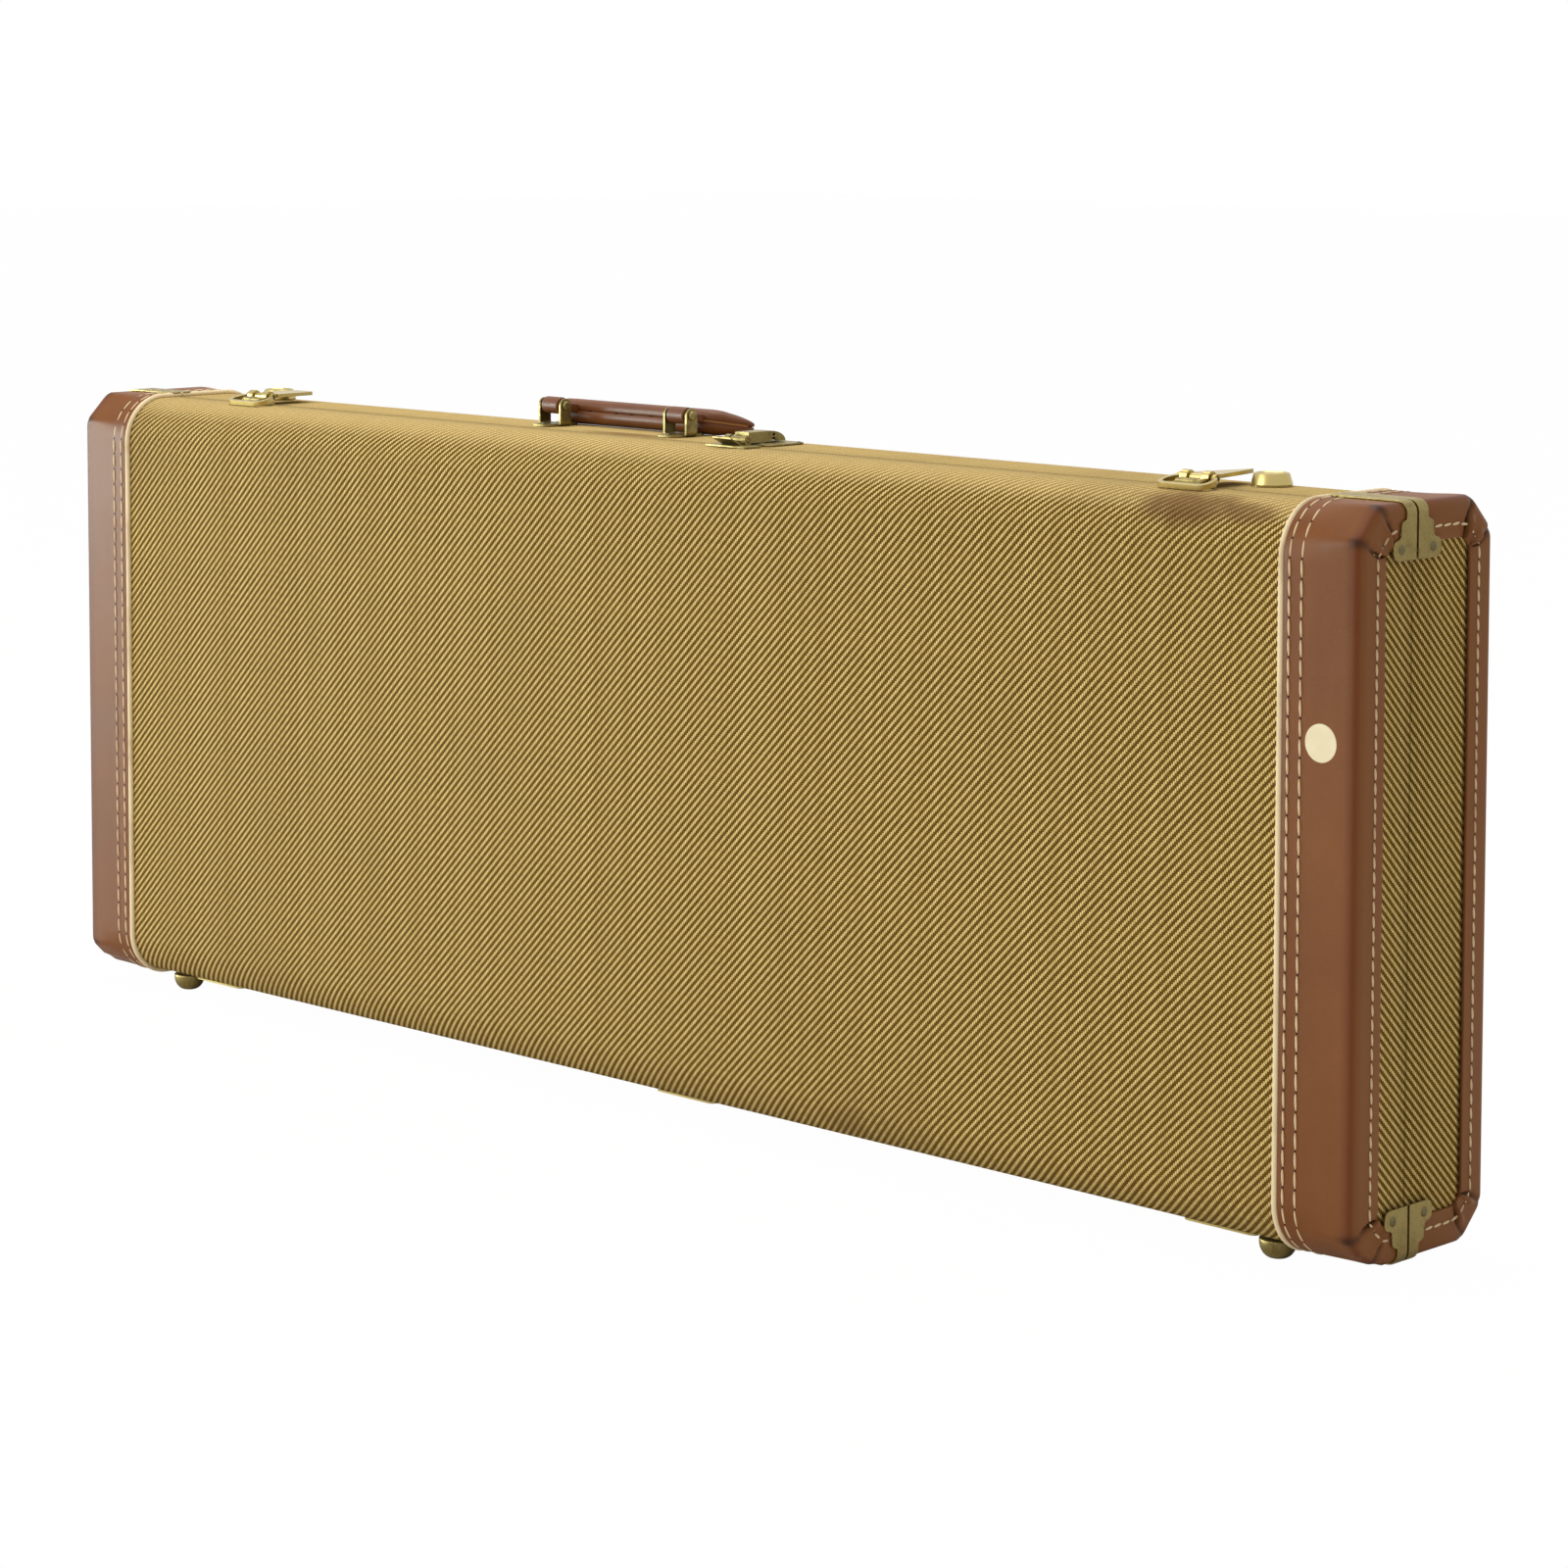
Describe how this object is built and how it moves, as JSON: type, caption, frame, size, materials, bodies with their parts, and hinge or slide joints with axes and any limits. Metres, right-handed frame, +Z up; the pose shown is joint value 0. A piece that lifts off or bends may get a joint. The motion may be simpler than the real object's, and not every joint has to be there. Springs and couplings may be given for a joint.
{
  "type": "rectangular hard guitar case",
  "caption": "Long flat hard case for an electric guitar, tweed covered with leather ends, hinged along its lower edge, with draw latches, a lock and a padded swinging handle.",
  "frame": {"origin": "on the floor under the middle of the case, at the centre of its footprint", "axes": "+X along the length towards the end that holds the neck, +Y from the lid towards the base, +Z up as it stands on its feet"},
  "size_m": [1.0424, 0.113, 0.4081],
  "materials": {
    "tweed": "woven straw and brown diagonal twill, lacquered and worn",
    "leather": "satin reddish brown, rubbed at the edges",
    "piping": "cream corded piping",
    "plywood": "plain plywood, unvarnished",
    "plush": "short plush pile over padding",
    "aged_brass": "dull aged brass",
    "bright_brass": "bright plated brass, lightly scratched"
  },
  "bodies": {
    "base": {"accessory_divider": "plush", "base_cap_left": "leather", "base_cap_right": "leather", "base_clip_bottom_left": "aged_brass", "base_clip_bottom_right": "aged_brass", "base_clip_top_left": "aged_brass", "base_clip_top_right": "aged_brass", "base_foot_left": "aged_brass", "base_foot_right": "aged_brass", "base_lining": "plush", "base_piping_left": "piping", "base_piping_right": "piping", "base_rim": "plywood", "base_shell": "plywood", "base_tweed": "tweed", "body_block_lower": "plush", "body_block_upper": "plush", "centre_hinge_base_leaf": "aged_brass", "centre_hinge_pin": "aged_brass", "centre_lock": "aged_brass", "handle_bracket_left": "aged_brass", "handle_bracket_right": "aged_brass", "handle_pin_left": "aged_brass", "handle_pin_right": "aged_brass", "left_hinge_base_leaf": "aged_brass", "left_hinge_pin": "aged_brass", "left_keeper": "bright_brass", "neck_cradle": "plush", "right_hinge_base_leaf": "aged_brass", "right_hinge_pin": "aged_brass", "right_keeper": "bright_brass"},
    "lid": {"centre_hinge_lid_leaf": "aged_brass", "centre_latch_pin": "aged_brass", "centre_latch_plate": "aged_brass", "left_hinge_lid_leaf": "aged_brass", "left_latch_pin": "bright_brass", "left_latch_plate": "bright_brass", "lid_cap_left": "leather", "lid_cap_right": "leather", "lid_clip_bottom_left": "aged_brass", "lid_clip_bottom_right": "aged_brass", "lid_clip_top_left": "aged_brass", "lid_clip_top_right": "aged_brass", "lid_foot_left": "aged_brass", "lid_foot_right": "aged_brass", "lid_lining": "plush", "lid_pad": "plush", "lid_piping_left": "piping", "lid_piping_right": "piping", "lid_shell": "plywood", "lid_tweed": "tweed", "right_hinge_lid_leaf": "aged_brass", "right_latch_pin": "bright_brass", "right_latch_plate": "bright_brass"},
    "handle": {"handle_grip": "leather"},
    "left_tongue": {"left_latch_tongue": "bright_brass"},
    "right_tongue": {"right_latch_tongue": "bright_brass"},
    "left_ring": {"left_latch_ring": "bright_brass"},
    "right_ring": {"right_latch_ring": "bright_brass"},
    "hasp": {"centre_hasp": "aged_brass"}
  },
  "joints": [
    {"name": "lid_hinge", "type": "hinge", "parent": "base", "child": "lid", "pos_m": [0, -0.0111, 0.0078], "axis": [1, 0, 0], "range_deg": [0, 100]},
    {"name": "handle_swing", "type": "hinge", "parent": "base", "child": "handle", "pos_m": [-0.0772, 0.0089, 0.4013], "axis": [1, 0, 0], "range_deg": [0, 165]},
    {"name": "left_tongue_lift", "type": "hinge", "parent": "lid", "child": "left_tongue", "pos_m": [-0.385, -0.0149, 0.394], "axis": [1, 0, 0], "range_deg": [0, 70]},
    {"name": "right_tongue_lift", "type": "hinge", "parent": "lid", "child": "right_tongue", "pos_m": [0.385, -0.0149, 0.394], "axis": [1, 0, 0], "range_deg": [-2.5, 67.5]},
    {"name": "left_ring_lift", "type": "hinge", "parent": "lid", "child": "left_ring", "pos_m": [-0.385, -0.0149, 0.394], "axis": [-1, 0, 0], "range_deg": [0, 75]},
    {"name": "right_ring_lift", "type": "hinge", "parent": "lid", "child": "right_ring", "pos_m": [0.385, -0.0149, 0.394], "axis": [-1, 0, 0], "range_deg": [0, 75]},
    {"name": "hasp_lift", "type": "hinge", "parent": "lid", "child": "hasp", "pos_m": [0.049, -0.0149, 0.3928], "axis": [1, 0, 0], "range_deg": [0, 100]}
  ]
}
